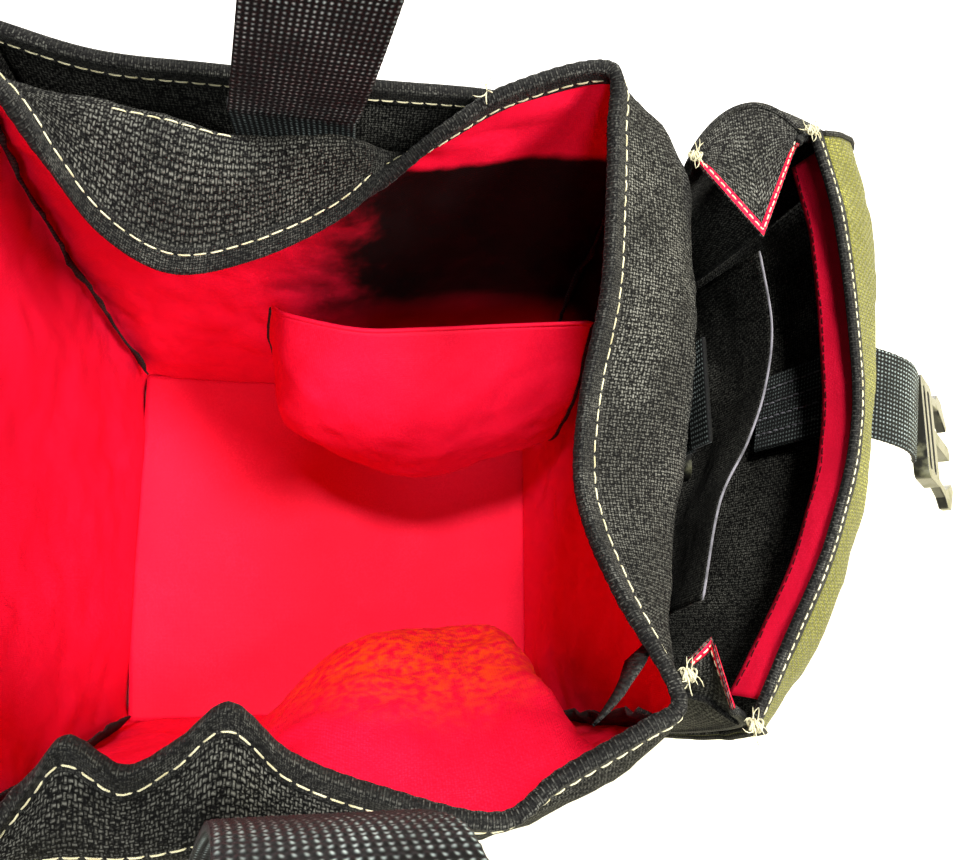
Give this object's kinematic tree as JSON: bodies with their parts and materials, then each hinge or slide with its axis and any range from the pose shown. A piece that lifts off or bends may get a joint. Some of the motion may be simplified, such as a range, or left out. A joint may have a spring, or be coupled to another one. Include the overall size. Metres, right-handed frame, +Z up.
{
  "type": "soft gear bag",
  "caption": "Open-topped soft gear bag with a red lining, topstitched rim, webbing carry loops, inner and outside pockets, and a bellows end pocket with a buckle strap.",
  "frame": {"origin": "middle of the base, on the surface it stands on", "axes": "+X along the length towards the end pocket, +Y towards the wall with the outside pocket, +Z up"},
  "size_m": [0.4136, 0.2566, 0.345],
  "materials": {
    "black_cloth": "matte",
    "red_lining": "satin",
    "black_webbing": "satin",
    "black_plastic": "gloss",
    "cream_thread": "matte",
    "black_tape": "satin",
    "base_board": "matte"
  },
  "bodies": {
    "bag": {"bag_bartacks": "cream_thread", "base_board": "base_board", "base_lining": "red_lining", "base_panel": "black_cloth", "closure_strap_end": "black_webbing", "far_gusset": "black_cloth", "far_handle_end": "black_webbing", "far_left_seam_binding": "black_tape", "far_lining": "red_lining", "far_panel": "black_cloth", "far_right_seam_binding": "black_tape", "far_rim_hem": "black_cloth", "far_top_band": "black_cloth", "inner_pocket_panel": "red_lining", "inner_pocket_top": "red_lining", "left_end_lining": "red_lining", "left_end_panel": "black_cloth", "left_end_rim_hem": "black_cloth", "left_end_top_band": "black_cloth", "near_gusset": "black_cloth", "near_handle_end": "black_webbing", "near_left_seam_binding": "black_tape", "near_lining": "red_lining", "near_panel": "black_cloth", "near_right_seam_binding": "black_tape", "near_rim_hem": "black_cloth", "near_top_band": "black_cloth", "outside_pocket_hem": "black_cloth", "outside_pocket_panel": "black_cloth", "pocket_divider": "black_cloth", "right_end_lining": "red_lining", "right_end_panel": "black_cloth", "right_end_rim_hem": "black_cloth", "right_end_top_band": "black_cloth"},
    "far_loop": {"far_handle": "black_webbing"},
    "near_loop": {"near_handle": "black_webbing"},
    "pocket_front": {"pocket_front_panel": "black_cloth", "pocket_front_lining": "black_cloth", "pocket_front_facing": "red_lining", "pocket_front_hem": "black_cloth", "pocket_bartacks": "cream_thread", "strap_backing": "black_webbing"},
    "strap": {"buckle_strap": "black_webbing"},
    "buckle": {"male_buckle": "black_plastic"},
    "prong_far": {"far_prong": "black_plastic"},
    "prong_near": {"near_prong": "black_plastic"},
    "mating_strap": {"closure_strap": "black_webbing", "female_buckle": "black_plastic"}
  },
  "joints": [
    {"name": "far_loop_swing", "type": "hinge", "parent": "bag", "child": "far_loop", "pos_m": [-0.02, 0.1125, 0.237], "axis": [1, 0, 0], "range_deg": [-55, 50]},
    {"name": "near_loop_swing", "type": "hinge", "parent": "bag", "child": "near_loop", "pos_m": [-0.016, -0.101, 0.231], "axis": [1, 0, 0], "range_deg": [-14, 69]},
    {"name": "pocket_front_swing", "type": "hinge", "parent": "bag", "child": "pocket_front", "pos_m": [0.112, 0, 0.009], "axis": [0, 1, 0], "range_deg": [-4, 3], "deforming": ["far_gusset", "near_gusset", "pocket_divider"]},
    {"name": "strap_swing", "type": "hinge", "parent": "pocket_front", "child": "strap", "pos_m": [0.198, 0.05, 0.19], "axis": [0.1736, 0.9848, 0], "range_deg": [-60, 30]},
    {"name": "buckle_swing", "type": "hinge", "parent": "strap", "child": "buckle", "pos_m": [0.24076, 0.04246, 0.16973], "axis": [0.1736, 0.9848, 0], "range_deg": [-75, 20]},
    {"name": "far_prong_squeeze", "type": "hinge", "parent": "buckle", "child": "prong_far", "pos_m": [0.26036, 0.0583, 0.1568], "axis": [0.6063, -0.1069, 0.788], "range_deg": [-8, 0], "stiffness_Nm_per_rad": 0.05},
    {"name": "near_prong_squeeze", "type": "hinge", "parent": "buckle", "child": "prong_near", "pos_m": [0.25376, 0.02088, 0.1568], "axis": [0.6063, -0.1069, 0.788], "range_deg": [0, 8], "stiffness_Nm_per_rad": 0.05},
    {"name": "mating_strap_swing", "type": "hinge", "parent": "bag", "child": "mating_strap", "pos_m": [0.1245, 0.04, 0.196], "axis": [0, 1, 0], "range_deg": [-8, 0.5]}
  ],
  "couplings": [
    {"joint": "near_prong_squeeze", "follows": "far_prong_squeeze", "ratio": -1}
  ]
}
